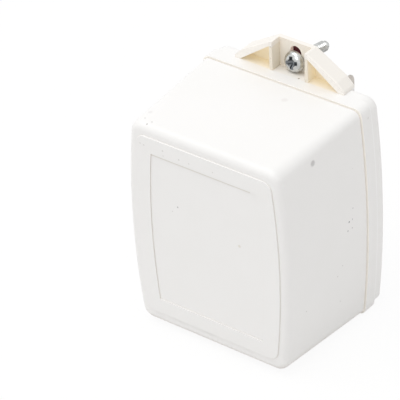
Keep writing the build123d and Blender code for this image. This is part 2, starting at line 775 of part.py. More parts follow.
# Terminals: a brass plate under the tray's roof, with a tab through it, a square washer and a screw
for side, place in ((-1, "left"), (1, "right")):
    centre_x = side * terminal_x
    with BuildPart() as terminal_plate:
        plate_z = tray_roof_z - plate_t
        x0 = centre_x - plate_half_w
        x1 = centre_x + plate_half_w
        box_between(x0, x1, plate_front_y, plate_rear_y, plate_z, tray_roof_z)
        box_between(centre_x - tab_half_w, centre_x + tab_half_w, plate_rear_y, tab_y1, plate_z, tab_top_z)
        with BuildSketch(Plane.XY.offset(plate_z)):
            with Locations((centre_x, terminal_y)):
                Circle(terminal_shank_r + thread_clear)
        extrude(amount=plate_t, mode=Mode.SUBTRACT)
        with BuildSketch(facing_front(tab_y1)):
            with Locations((centre_x, tab_hole_z)):
                Circle(tab_hole_r)
        extrude(amount=plate_t, mode=Mode.SUBTRACT)
    terminal_plate.part.label = "terminal_plate_" + place
    export_step(terminal_plate.part, "parts/terminal_plate_" + place + ".step")
    with BuildPart() as wire_washer:
        washer_z = tray_roof_z - plate_t - washer_t
        with BuildSketch(Plane.XY.offset(washer_z)):
            with Locations((centre_x, terminal_y)):
                RectangleRounded(2 * washer_half, 2 * washer_half, washer_r)
                Circle(terminal_shank_r + bore_clear, mode=Mode.SUBTRACT)
        extrude(amount=washer_t)
    wire_washer.part.label = "wire_washer_" + place
    export_step(wire_washer.part, "parts/wire_washer_" + place + ".step")
    with BuildPart() as terminal_screw:
        with BuildSketch(Plane.XY.offset(washer_z)):
            with Locations((centre_x, terminal_y)):
                Circle(terminal_shank_r)
        extrude(amount=tray_top_z + terminal_shank_out - washer_z)
        shank_end = terminal_screw.faces().sort_by(Axis.Z)[-1].edges()
        chamfer(shank_end, terminal_shank_bevel)
        with BuildSketch(Plane.XY.offset(washer_z)):
            with Locations((centre_x, terminal_y)):
                Circle(terminal_head_r)
        extrude(amount=-terminal_head_h)
        head_edge = terminal_screw.faces().sort_by(Axis.Z)[0].edges()
        chamfer(head_edge, terminal_head_bevel)
        with BuildSketch(Plane.XY.offset(washer_z - terminal_head_h)):
            with Locations((centre_x, terminal_y)):
                Rectangle(2 * terminal_head_r, driver_slot_w)
        extrude(amount=driver_slot_depth, mode=Mode.SUBTRACT)
    terminal_screw.part.label = "terminal_screw_" + place
    export_step(terminal_screw.part, "parts/terminal_screw_" + place + ".step")
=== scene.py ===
import bpy
from math import cos, pi, radians, sin
from mathutils import Matrix, Vector


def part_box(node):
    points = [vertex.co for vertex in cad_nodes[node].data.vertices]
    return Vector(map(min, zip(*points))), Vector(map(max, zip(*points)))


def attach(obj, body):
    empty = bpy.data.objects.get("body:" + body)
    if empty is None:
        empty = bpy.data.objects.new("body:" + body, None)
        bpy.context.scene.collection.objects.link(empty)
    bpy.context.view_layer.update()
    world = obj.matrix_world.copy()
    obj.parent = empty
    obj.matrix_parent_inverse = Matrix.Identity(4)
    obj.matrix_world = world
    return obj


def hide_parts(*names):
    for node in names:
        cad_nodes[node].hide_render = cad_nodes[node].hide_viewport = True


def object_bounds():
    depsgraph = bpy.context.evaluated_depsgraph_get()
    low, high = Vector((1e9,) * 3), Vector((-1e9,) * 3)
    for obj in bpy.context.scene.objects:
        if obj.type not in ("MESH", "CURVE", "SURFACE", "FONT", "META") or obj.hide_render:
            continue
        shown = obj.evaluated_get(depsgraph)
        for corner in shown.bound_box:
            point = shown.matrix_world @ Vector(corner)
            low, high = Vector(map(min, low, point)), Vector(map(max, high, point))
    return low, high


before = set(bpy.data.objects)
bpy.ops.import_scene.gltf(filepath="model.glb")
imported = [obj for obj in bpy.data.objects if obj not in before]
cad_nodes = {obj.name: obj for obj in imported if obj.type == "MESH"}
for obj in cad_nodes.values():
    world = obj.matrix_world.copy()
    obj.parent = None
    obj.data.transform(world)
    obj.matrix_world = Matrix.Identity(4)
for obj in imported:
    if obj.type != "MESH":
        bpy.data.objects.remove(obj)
cad_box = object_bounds()

# Camera: a long lens a little under a metre away, above and to the right of the object. The
# slight shift only centres the frame.
camera_data = bpy.data.cameras.new("camera")
camera_data.sensor_width = 36.0
camera_data.lens = 271.894
camera_data.shift_x = 0.0017
camera_data.shift_y = -0.0009
camera_data.clip_start = 0.05
camera_data.clip_end = 20.0
camera = bpy.data.objects.new("camera", camera_data)
bpy.context.scene.collection.objects.link(camera)
camera.location = (0.4532, -0.610437, 0.490459)
camera.rotation_euler = [radians(a) for a in (55.3854, 2.6897, 37.1499)]
bpy.context.scene.camera = camera
bpy.context.scene.view_settings.view_transform = "Standard"


# Table: a sheet of pale matt paper that the transformer stands on. It is drawn partly as plain
# white where it is seen or mirrored, so that it shows as white paper with a faint shadow.
def linear(code):
    """The linear colour of an sRGB hex code."""
    parts = [int(code[i:i + 2], 16) / 255 for i in (1, 3, 5)]
    return [p / 12.92 if p <= 0.04045 else ((p + 0.055) / 1.055) ** 2.4 for p in parts] + [1.0]


def new_tree(owner):
    """The empty node tree of a material or a world."""
    owner.use_nodes = True
    owner.node_tree.nodes.clear()
    return owner.node_tree


def add_node(tree, kind, links=None, inputs=None, **settings):
    """One node with its settings, its plain inputs and the sockets that feed it."""
    node = tree.nodes.new(kind)
    for name, value in settings.items():
        setattr(node, name, value)
    for socket, value in (inputs or {}).items():
        node.inputs[socket].default_value = value
    for socket, source in (links or {}).items():
        tree.links.new(source, node.inputs[socket])
    return node


def seen_rays(tree):
    """One for a ray from the camera, off a glossy surface or through glass, nought for others."""
    path = add_node(tree, "ShaderNodeLightPath")
    seen = path.outputs["Is Camera Ray"]
    for kind in ("Is Glossy Ray", "Is Transmission Ray"):
        either = add_node(
            tree, "ShaderNodeMath", operation="MAXIMUM", links={0: seen, 1: path.outputs[kind]})
        seen = either.outputs[0]
    return seen


def nothing_selected():
    """Every object deselected, in object mode."""
    if bpy.context.mode != "OBJECT":
        bpy.ops.object.mode_set(mode="OBJECT")
    bpy.ops.object.select_all(action="DESELECT")


mm = 0.001
table_side = 6.0
table_gap = 0.1 * mm
white_share = 0.9
nothing_selected()
bpy.ops.mesh.primitive_plane_add(size=table_side, location=(0, 0, cad_box[0].z - table_gap))
table = bpy.context.object
table.name = "table_sheet"
paper = bpy.data.materials.new("white_table_paper")
tree = new_tree(paper)
share = add_node(
    tree, "ShaderNodeMath", operation="MULTIPLY", inputs={1: white_share}, links={0: seen_rays(tree)})
matt = add_node(tree, "ShaderNodeBsdfDiffuse", inputs={"Color": linear("#E9E8E7")})
white = add_node(tree, "ShaderNodeEmission", inputs={"Color": linear("#FFFFFF"), "Strength": 1.02})
both = add_node(
    tree, "ShaderNodeMixShader", links={0: share.outputs[0], 1: matt.outputs[0], 2: white.outputs[0]})
add_node(tree, "ShaderNodeOutputMaterial", links={"Surface": both.outputs[0]})
table.data.materials.append(paper)

# Light: a white sky all round and one large soft lamp high above the object. A bright panel beside
# the camera shows only in reflections, where it gives the screw's dome its highlight.
world = bpy.data.worlds.new("studio_sky")
bpy.context.scene.world = world
tree = new_tree(world)
ambient = add_node(
    tree, "ShaderNodeBackground", inputs={"Color": linear("#FFFFFF"), "Strength": 0.79})
backdrop = add_node(
    tree, "ShaderNodeBackground", inputs={"Color": linear("#FFFFFF"), "Strength": 1.0})
both = add_node(
    tree, "ShaderNodeMixShader",
    links={0: seen_rays(tree), 1: ambient.outputs[0], 2: backdrop.outputs[0]})
add_node(tree, "ShaderNodeOutputWorld", links={"Surface": both.outputs[0]})

lamp_aim = Vector((0, -0.02, -0.02))
lamp_data = bpy.data.lights.new("overhead_softbox", "AREA")
lamp_data.shape = "RECTANGLE"
lamp_data.size = 0.9
lamp_data.size_y = 0.7
lamp_data.energy = 4.7
lamp = bpy.data.objects.new("overhead_softbox", lamp_data)
bpy.context.scene.collection.objects.link(lamp)
lamp.location = (-0.25, -0.35, 1.05)
lamp.rotation_euler = (lamp_aim - lamp.location).to_track_quat("-Z", "Y").to_euler()

panel_aim = Vector((0, -0.02, 0.016))
nothing_selected()
bpy.ops.mesh.primitive_plane_add(size=0.3, location=(0.06, -0.5, 0.42))
panel = bpy.context.object
panel.name = "bright_panel_by_the_camera"
panel.rotation_euler = (panel.location - panel_aim).to_track_quat("Z", "Y").to_euler()
panel.visible_camera = False
panel.visible_diffuse = False
panel.visible_transmission = False
panel.visible_shadow = False
panel_light = bpy.data.materials.new("bright_panel")
tree = new_tree(panel_light)
shine = add_node(tree, "ShaderNodeEmission", inputs={"Color": linear("#FFFFFF"), "Strength": 3.0})
add_node(tree, "ShaderNodeOutputMaterial", links={"Surface": shine.outputs[0]})
panel.data.materials.append(panel_light)


# Front housing: the deep cup that covers the core, with a raised panel and a sunk, bare field for a
# label. It is moulded in ivory ABS in a spark-eroded tool and bonded to the rear base round its
# lip. The eye sees a warm white with a soft sheen, a very fine grain, faint clouds and some dirt;
# painted shade darkens its corners and its underside.
def dress(name, material):
    """Puts the material in every slot of a CAD node."""
    for slot in cad_nodes[name].material_slots:
        slot.material = material


def region(tree, limits, start=None):
    """One where each source lies between its two limits in millimetres, nought elsewhere. Where a
    start is given, it is the value inside."""
    inside = start
    for source, low, high in limits:
        within = add_node(
            tree, "ShaderNodeMath", operation="COMPARE", links={0: source},
            inputs={1: (low + high) / 2 * mm, 2: (high - low) / 2 * mm}).outputs[0]
        if inside is None:
            inside = within
        else:
            inside = add_node(
                tree, "ShaderNodeMath", operation="MULTIPLY", links={0: inside, 1: within}).outputs[0]
    return inside


def wear_and_painted_shade(tree, place, marks):
    """What lies on a moulding, as layers with a weight and a colour: a few specks, marks given by
    centre and radius in millimetres, painted shade in the corners, and painted shade on the underside."""
    speck_gap = 9 * mm
    speck_core = 0.108 * mm
    speck_edge = 0.198 * mm
    bare_share = 0.9
    cells = add_node(
        tree, "ShaderNodeTexVoronoi", links={"Vector": place}, inputs={"Scale": 1 / speck_gap})
    number = add_node(tree, "ShaderNodeSeparateColor", links={0: cells.outputs["Color"]})
    chosen = add_node(
        tree, "ShaderNodeMath", operation="GREATER_THAN", inputs={1: bare_share},
        links={0: number.outputs[0]})
    dot = add_node(
        tree, "ShaderNodeMapRange", links={"Value": cells.outputs["Distance"]},
        inputs={
            "From Min": speck_core / speck_gap, "From Max": speck_edge / speck_gap,
            "To Min": 0.45, "To Max": 0.0})
    speck = add_node(
        tree, "ShaderNodeMath", operation="MULTIPLY", links={0: dot.outputs[0], 1: chosen.outputs[0]})
    layers = [(speck.outputs[0], "#8E8880")]

    for centre, radius, code, strength in marks:
        away = add_node(
            tree, "ShaderNodeVectorMath", operation="DISTANCE", links={0: place},
            inputs={1: [c * mm for c in centre]})
        fade = add_node(
            tree, "ShaderNodeMapRange", links={"Value": away.outputs["Value"]},
            inputs={
                "From Min": radius * mm / 2, "From Max": radius * mm,
                "To Min": strength, "To Max": 0.0})
        layers.append((fade.outputs[0], code))

    # Painted shade darkens corners within this reach, by ambient occlusion, but not walls facing up.
    corner_shade_reach = 0.6 * mm
    surface = add_node(tree, "ShaderNodeNewGeometry")
    facing = add_node(tree, "ShaderNodeSeparateXYZ", links={0: surface.outputs["True Normal"]})
    corner = add_node(tree, "ShaderNodeAmbientOcclusion", samples=8, inputs={"Distance": corner_shade_reach})
    caught = add_node(
        tree, "ShaderNodeMapRange", links={"Value": corner.outputs["AO"]},
        inputs={"From Min": 0.5, "From Max": 0.85, "To Min": 0.5, "To Max": 0.0})
    not_upward = add_node(
        tree, "ShaderNodeMapRange", links={"Value": facing.outputs[2]},
        inputs={"From Min": 0.3, "From Max": 0.7, "To Min": 1.0, "To Max": 0.0})
    corner_shade = add_node(
        tree, "ShaderNodeMath", operation="MULTIPLY",
        links={0: caught.outputs[0], 1: not_upward.outputs[0]})
    # Painted shade: faces that look down are darkened, as the underside lies in shade.
    underside_shade = add_node(
        tree, "ShaderNodeMapRange", links={"Value": facing.outputs[2]},
        inputs={"From Min": -0.75, "From Max": -0.1, "To Min": 0.7, "To Max": 0.0})
    return layers + [(corner_shade.outputs[0], "#D2CABD"), (underside_shade.outputs[0], "#D6CEC6")]


def ivory_abs(tree, place, layers, glow=None):
    """The moulded plastic with the layers over its cloudy ivory. The glow is the strength of the
    light that soaks through thin walls, tinted by their colour."""
    cloud_size = 16 * mm
    cloud = add_node(
        tree, "ShaderNodeTexNoise", links={"Vector": place},
        inputs={"Scale": 1 / cloud_size, "Detail": 3.0, "Roughness": 0.55})
    colour = add_node(
        tree, "ShaderNodeMix", data_type="RGBA", links={0: cloud.outputs["Fac"]},
        inputs={6: linear("#F4F3F2"), 7: linear("#F2F1EF")}).outputs[2]
    for weight, code in layers:
        colour = add_node(
            tree, "ShaderNodeMix", data_type="RGBA", inputs={7: linear(code)},
            links={0: weight, 6: colour}).outputs[2]

    # The real grain is about 0.03 mm wide; it is drawn at 0.25 mm so that it shows at all. The
    # walls also sink by some hundredths over their thick places.
    grain_size = 0.25 * mm
    sink_size = 22 * mm
    sink_share = 8.0
    grain = add_node(
        tree, "ShaderNodeTexNoise", links={"Vector": place},
        inputs={"Scale": 1 / grain_size, "Detail": 2.0, "Roughness": 0.6})
    sink = add_node(
        tree, "ShaderNodeTexNoise", links={"Vector": place},
        inputs={"Scale": 1 / sink_size, "Detail": 1.0})
    relief = add_node(
        tree, "ShaderNodeMath", operation="MULTIPLY_ADD", inputs={1: sink_share},
        links={0: sink.outputs["Fac"], 2: grain.outputs["Fac"]})
    bump = add_node(
        tree, "ShaderNodeBump", links={"Height": relief.outputs[0]},
        inputs={"Strength": 0.25, "Distance": 0.02 * mm})
    plastic = add_node(
        tree, "ShaderNodeBsdfPrincipled", links={"Base Color": colour, "Normal": bump.outputs[0]},
        inputs={"Roughness": 0.42, "IOR": 1.54, "Specular IOR Level": 0.4})
    if glow is not None:
        tree.links.new(colour, plastic.inputs["Emission Color"])
        tree.links.new(glow, plastic.inputs["Emission Strength"])
    add_node(tree, "ShaderNodeOutputMaterial", links={"Surface": plastic.outputs[0]})


field_sunk = 0.3
field_top_z = 2.0
line_height = 0.6
line_left_x = -20.5
line_right_x = 16.8
panel_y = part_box("front_housing")[0].y / mm
field_y = panel_y + field_sunk
housing_marks = (
    # Dirt in the sunk field
    ((-10.3, field_y, -13.8), 0.34, "#5E5A57", 0.45),
    ((-12.35, field_y, -16.0), 0.24, "#8E8A86", 0.35),
    ((12.0, field_y, -19.1), 0.6, "#D9D3C2", 0.5),
    # Scuffs where the top meets the front, at the left
    ((-21.0, -47.1, 10.8), 0.35, "#8C8882", 0.6),
    ((-20.2, -45.75, 11.05), 0.3, "#A29E97", 0.6),
    ((-23.2, -45.2, 11.1), 0.3, "#A29E97", 0.5),
    ((-23.9, -41.9, 11.15), 0.9, "#DFDCDB", 0.45),
    # A row of faint scuffs across the raised panel
    ((-21.4, panel_y, 4.3), 0.34, "#B3AFA8", 0.35),
    ((-22.75, panel_y, 4.5), 0.34, "#B3AFA8", 0.3),
    ((-14.45, panel_y, 4.7), 0.36, "#A8A49E", 0.35),
    ((-14.35, panel_y, 3.0), 0.3, "#B3AFA8", 0.3),
    ((-8.55, panel_y, 3.75), 0.34, "#A8A49E", 0.4),
    ((-4.9, panel_y, 3.7), 0.3, "#B3AFA8", 0.35),
    ((3.7, panel_y, 3.9), 0.3, "#B3AFA8", 0.35),
    # A grey rub on the rounded edge at the right, and a paler one on the top
    ((27.7, -32.7, 6.9), 1.2, "#BDBABA", 0.75),
    ((6.05, -16.2, 11.9), 1.2, "#E4E0DE", 0.5),
    # Scuffs on the right side, most of them in a short row
    ((29.3, -15.5, -4.05), 0.25, "#9A9694", 0.35),
    ((29.85, -16.5, -17.3), 0.28, "#77757A", 0.7),
    ((29.9, -18.55, -21.1), 0.42, "#6F6D72", 0.75),
    ((29.95, -16.9, -21.0), 0.26, "#77757A", 0.7),
    ((29.95, -19.25, -23.95), 0.32, "#6F6D72", 0.7),
    ((30.0, -17.15, -24.0), 0.28, "#77757A", 0.6),
    ((29.6, -22.0, -34.95), 0.32, "#A09C9A", 0.4),
    ((29.45, -24.4, -37.55), 0.32, "#A8A29C", 0.4),
    ((28.9, -22.55, -48.0), 0.3, "#A09C9A", 0.35),
    ((28.8, -39.45, -41.4), 0.32, "#A8A29C", 0.4),
)
housing_plastic = bpy.data.materials.new("moulded_ivory_abs")
tree = new_tree(housing_plastic)
place = add_node(tree, "ShaderNodeTexCoord").outputs["Object"]
axes = add_node(tree, "ShaderNodeSeparateXYZ", links={0: place})
# The sunk field has a dull line of shade and dust under its upper edge.
under_edge = region(tree, (
    (axes.outputs[2], field_top_z - line_height, field_top_z),
    (axes.outputs[0], line_left_x, line_right_x),
    (axes.outputs[1], field_y - 0.02, field_y + 0.02),
))
ivory_abs(tree, place, wear_and_painted_shade(tree, place, housing_marks) + [(under_edge, "#E3DFD8")])
dress("front_housing", housing_plastic)

# Rear base: the shallow tray that carries everything, with its mounting ear and the terminal tray
# moulded in one piece in the same ivory ABS. Its thin walls let some light soak through, so the
# ear's deep corners look yellowish; this light is painted into its colour and as a faint glow.
ear_floor_z = 12.5
ear_top_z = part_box("rear_base")[1].z / mm
ear_front_y = -5.65
ear_back_y = -0.2
recess_y = -1.75
pocket_inner_x = 7.0
pocket_roof_z = 20.6
roof_fall = 8.1 / 11.0
base_marks = (
    ((3.3, -5.15, ear_floor_z), 0.4, "#5B5048", 0.8),
    ((29.0, -6.65, 8.55), 0.5, "#C9C4C0", 0.35),
    ((29.35, -9.6, -1.65), 0.4, "#7D6F62", 0.8),
    ((29.4, -9.6, -45.85), 0.4, "#7D6F62", 0.8),
    ((-6.35, ear_front_y, 20.45), 0.4, "#5B554F", 0.75),
    ((-6.45, ear_front_y, 16.45), 0.4, "#5B554F", 0.75),
)
base_plastic = bpy.data.materials.new("moulded_ivory_abs_base")
tree = new_tree(base_plastic)
place = add_node(tree, "ShaderNodeTexCoord").outputs["Object"]
axes = add_node(tree, "ShaderNodeSeparateXYZ", links={0: place})
depth = axes.outputs[1]
height = axes.outputs[2]
across = add_node(
    tree, "ShaderNodeMath", operation="ABSOLUTE", links={0: axes.outputs[0]}).outputs[0]
# With the fall added, a pocket's slanted roof has the same level all along.
levelled = add_node(
    tree, "ShaderNodeMath", operation="MULTIPLY_ADD", inputs={1: roof_fall},
    links={0: across, 2: height}).outputs[0]
roof_level = pocket_roof_z + pocket_inner_x * roof_fall + 0.25
# The painted warm light in the openings grows the deeper they go.
deeper = add_node(
    tree, "ShaderNodeMapRange", links={"Value": depth},
    inputs={"From Min": -6.2 * mm, "From Max": -2.6 * mm, "To Min": 0.35, "To Max": 1.0}).outputs[0]
in_openings = (depth, ear_front_y + 0.07, recess_y + 0.1)
in_ear = region(tree, ((height, ear_floor_z + 0.02, ear_top_z + 0.3),))
in_pocket = region(
    tree, ((across, pocket_inner_x - 0.1, 18.1), in_openings, (levelled, 10.0, roof_level)), deeper)
in_recess = region(
    tree, ((across, 0.0, 6.0), (height, ear_floor_z - 0.05, ear_top_z + 0.1), in_openings), deeper)
in_rib = region(tree, (
    (across, 5.7, 6.92),
    (height, ear_floor_z, ear_top_z - 1.7),
    (depth, ear_front_y - 0.15, recess_y + 0.15),
))
in_slot = region(tree, (
    (across, 0.0, 2.1),
    (depth, recess_y + 0.05, ear_back_y - 0.05),
    (height, ear_floor_z + 0.5, ear_top_z - 1.0),
))
front_edge = region(
    tree, ((depth, ear_front_y - 0.15, ear_front_y + 0.65), (across, pocket_inner_x, 20.5)), in_ear)
seam_painted_light = region(tree, ((depth, -10.02, -9.58),))
step_painted_highlight = region(tree, ((depth, -5.25, -4.65), (across, 28.5, 31.0)))
# Painted light: warm tints where light soaks through the walls and bounces in the ear's openings, a
# pinkish painted reflection of the red washer on the slot's walls, painted light that pales the seam,
# and a painted highlight along the step.
layers = wear_and_painted_shade(tree, place, base_marks)
for mask, code, strength in (
    (in_ear, "#F5EEE3", 0.55),
    (in_recess, "#F2E6D2", 0.42),
    (in_rib, "#EADFC8", 0.6),
    (in_pocket, "#F7E9C8", 0.8),
    (in_slot, "#E6CDBD", 0.9),
    (seam_painted_light, "#F7F3EC", 1.0),
    (step_painted_highlight, "#FFFFFF", 0.5),
):
    weight = add_node(
        tree, "ShaderNodeMath", operation="MULTIPLY", inputs={1: strength}, links={0: mask})
    layers.append((weight.outputs[0], code))
# Painted light: a faint emission makes these places glow, for the light that soaks through them.
glow = None
for mask, strength in ((in_pocket, 0.085), (seam_painted_light, 0.12), (in_slot, 0.3), (front_edge, 0.05)):
    glow = add_node(
        tree, "ShaderNodeMath", operation="MULTIPLY_ADD", inputs={1: strength, 2: 0.0},
        links={0: mask} if glow is None else {0: mask, 2: glow}).outputs[0]
ivory_abs(tree, place, layers, glow)
dress("rear_base", base_plastic)


# Mounting screw: a number 6 pan-head machine screw with a cross recess, cold-headed from steel
# wire, its thread rolled, then bright zinc plated, so that it mirrors with a slight mottle. It
# hangs loose in the ear's slot, its head's rim against the ear's plate and floor.
def only(piece):
    """Selects one object alone and makes it active."""
    nothing_selected()
    piece.select_set(True)
    bpy.context.view_layer.objects.active = piece


def grow(stations):
    """Extrudes the selected ring through stations of radius and height, capped at the end."""
    radius, height = stations[0]
    for next_radius, next_height in stations[1:]:
        bpy.ops.mesh.extrude_region_move(TRANSFORM_OT_translate={"value": (0, 0, next_height - height)})
        share = next_radius / radius
        bpy.ops.transform.resize(value=(share, share, 1), center_override=(0, 0, next_height))
        radius, height = next_radius, next_height


def apply_modifier(piece, kind, **settings):
    """Adds one modifier with its settings and applies it."""
    only(piece)
    modifier = piece.modifiers.new(kind.lower(), kind)
    for name, value in settings.items():
        setattr(modifier, name, value)
    bpy.ops.object.modifier_apply(modifier=modifier.name)


def put(piece, matrix):
    """Moves a finished piece to its place and leaves the place in its mesh."""
    only(piece)
    piece.matrix_world = matrix
    bpy.ops.object.transform_apply(location=True, rotation=True, scale=True)


def outward(piece):
    """Merges doubles, then turns every face outward."""
    merge_reach = 0.002 * mm
    only(piece)
    bpy.ops.object.mode_set(mode="EDIT")
    bpy.ops.mesh.select_all(action="SELECT")
    bpy.ops.mesh.remove_doubles(threshold=merge_reach)
    bpy.ops.mesh.normals_make_consistent(inside=False)
    bpy.ops.object.mode_set(mode="OBJECT")


def turned(name, stations, sides):
    """A piece of revolution round Z, grown from its first station. Each station is a radius and a
    height in millimetres."""
    stations = [(radius * mm, height * mm) for radius, height in stations]
    nothing_selected()
    bpy.ops.mesh.primitive_circle_add(
        vertices=sides, radius=stations[0][0], fill_type="NGON", location=(0, 0, stations[0][1]))
    piece = bpy.context.object
    piece.name = name
    bpy.ops.object.transform_apply(location=True, rotation=True, scale=True)
    bpy.ops.object.mode_set(mode="EDIT")
    bpy.ops.mesh.select_all(action="SELECT")
    grow(stations)
    bpy.ops.object.mode_set(mode="OBJECT")
    outward(piece)
    return piece


def thread_ridge(name, root_r, crest_r, pitch, top, length):
    """A rolled thread's ridge: a pointed profile carried round and along Z, closed at both ends, its
    sizes in millimetres."""
    root_half = 0.44
    crest_half = 0.06
    steps_a_turn = 28
    nothing_selected()
    bpy.ops.mesh.primitive_circle_add(vertices=4, radius=1.0, fill_type="NOTHING", location=(0, 0, 0))
    ridge = bpy.context.object
    ridge.name = name
    profile = ((root_r, -root_half), (crest_r, -crest_half), (crest_r, crest_half), (root_r, root_half))
    for vertex, (radius, rise) in zip(ridge.data.vertices, profile):
        vertex.co = (radius * mm, 0, (top + rise * pitch) * mm)
    apply_modifier(
        ridge, "SCREW", axis="Z", screw_offset=-pitch * mm, iterations=int(length / pitch),
        steps=steps_a_turn, render_steps=steps_a_turn, use_smooth_shade=True, use_merge_vertices=False)
    only(ridge)
    bpy.ops.object.mode_set(mode="EDIT")
    bpy.ops.mesh.select_all(action="DESELECT")
    bpy.ops.mesh.select_mode(type="EDGE")
    bpy.ops.mesh.select_non_manifold()
    bpy.ops.mesh.fill_holes(sides=4)
    bpy.ops.object.mode_set(mode="OBJECT")
    outward(ridge)
    return ridge


bright_zinc = bpy.data.materials.new("bright_zinc_plated_steel")
tree = new_tree(bright_zinc)
patch_size = 1.6 * mm
dent_size = 0.9 * mm
place = add_node(tree, "ShaderNodeTexCoord").outputs["Object"]
patches = add_node(
    tree, "ShaderNodeTexNoise", links={"Vector": place},
    inputs={"Scale": 1 / patch_size, "Detail": 4.0, "Roughness": 0.6})
plate_colour = add_node(
    tree, "ShaderNodeMix", data_type="RGBA", links={0: patches.outputs["Fac"]},
    inputs={6: linear("#8E9295"), 7: linear("#F0F0EC")})
rough = add_node(
    tree, "ShaderNodeMapRange", links={"Value": patches.outputs["Fac"]},
    inputs={"From Min": 0.35, "From Max": 0.7, "To Min": 0.08, "To Max": 0.2})
dents = add_node(
    tree, "ShaderNodeTexNoise", links={"Vector": place},
    inputs={"Scale": 1 / dent_size, "Detail": 2.0})
bump = add_node(
    tree, "ShaderNodeBump", links={"Height": dents.outputs["Fac"]},
    inputs={"Strength": 0.6, "Distance": 0.08 * mm})
metal = add_node(
    tree, "ShaderNodeBsdfPrincipled", inputs={"Metallic": 1.0},
    links={"Base Color": plate_colour.outputs[2], "Roughness": rough.outputs[0], "Normal": bump.outputs[0]})
add_node(tree, "ShaderNodeOutputMaterial", links={"Surface": metal.outputs[0]})

# Painted shade: the steel inside the recess is given a darker colour and a duller finish, for the shade in
# there.
recess_steel = bpy.data.materials.new("steel_with_painted_recess_shade")
tree = new_tree(recess_steel)
dull = add_node(
    tree, "ShaderNodeBsdfPrincipled",
    inputs={"Metallic": 1.0, "Roughness": 0.35, "Base Color": linear("#74777A")})
add_node(tree, "ShaderNodeOutputMaterial", links={"Surface": dull.outputs[0]})

# The screw is turned upright, its head's bearing face at nought: dome, rim, neck, core and point.
head_r = 3.43
neck_r = 1.55
core_r = 1.37
screw_stations = (
    (0.70, 2.10), (1.30, 2.05), (1.90, 1.92), (2.40, 1.72), (2.82, 1.42), (3.15, 1.04), (3.36, 0.62),
    (head_r, 0.25), (head_r, 0.12), (3.35, 0.0), (1.60, 0.0), (neck_r, -0.05), (neck_r, -3.4),
    (core_r, -3.55), (core_r, -15.75), (1.0, -16.3),
)
screw = turned("mounting_screw_turned", screw_stations, 64)
screw.data.materials.append(bright_zinc)

# The recess is cut by two crossed wings that widen upward, and a tapered middle.
wing_long = 1.7
wing_wide = 0.75
wing_floor_z = 0.55
mouth_long = 5.2
mouth_wide = 1.35
mouth_z = 2.4
wing_mid_z = (wing_floor_z + mouth_z) / 2
nothing_selected()
bpy.ops.mesh.primitive_cube_add(
    size=mm, location=(0, 0, wing_mid_z * mm), scale=(wing_long, wing_wide, mouth_z - wing_floor_z))
wing = bpy.context.object
wing.name = "cross_recess"
bpy.ops.object.transform_apply(location=True, rotation=True, scale=True)
bpy.ops.object.mode_set(mode="EDIT")
bpy.ops.mesh.select_all(action="DESELECT")
bpy.ops.object.mode_set(mode="OBJECT")
for vertex in wing.data.vertices:
    vertex.select = vertex.co.z > wing_mid_z * mm
bpy.ops.object.mode_set(mode="EDIT")
bpy.ops.transform.resize(
    value=(mouth_long / wing_long, mouth_wide / wing_wide, 1), center_override=(0, 0, mouth_z * mm))
bpy.ops.object.mode_set(mode="OBJECT")
other_wing = wing.copy()
other_wing.data = wing.data.copy()
bpy.context.scene.collection.objects.link(other_wing)
put(other_wing, Matrix.Rotation(radians(90), 4, "Z"))
middle = turned("recess_centre", ((1.6, 2.4), (0.9, 0.9), (0.25, 0.2)), 16)
for cutter in (wing, other_wing, middle):
    outward(cutter)
    cutter.data.materials.append(recess_steel)
    apply_modifier(
        screw, "BOOLEAN", operation="DIFFERENCE", solver="EXACT", object=cutter, material_mode="TRANSFER")
    bpy.data.objects.remove(cutter)
edge_round = 0.07 * mm
apply_modifier(
    screw, "BEVEL", width=edge_round, segments=2, limit_method="ANGLE", angle_limit=radians(38))

# The thread has 32 turns to the inch and starts behind the neck.
thread = thread_ridge(
    "mounting_screw_thread", root_r=1.3, crest_r=1.75, pitch=0.794, top=-3.9, length=11.9)
thread.data.materials.append(bright_zinc)
only(screw)
thread.select_set(True)
bpy.ops.object.join()
bpy.ops.object.shade_smooth_by_angle(angle=radians(35))

# The tip points out of the back and droops, so the screw's own Z runs from tip to head.
droop = radians(9.0)
rest_gap = 0.03
head_y = recess_y - head_r * sin(droop) - rest_gap
head_z = ear_floor_z + head_r * cos(droop) + rest_gap
outward_axis = Vector((0, -cos(droop), sin(droop)))
side_axis = Vector((1, 0, 0))
third_axis = outward_axis.cross(side_axis)
lean = Matrix((side_axis, third_axis, outward_axis)).transposed().to_4x4()
recess_turn = Matrix.Rotation(radians(10), 4, "Z")
put(screw, Matrix.Translation(Vector((0, head_y, head_z)) * mm) @ lean @ recess_turn)
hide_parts("mounting_screw")
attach(screw, "root")


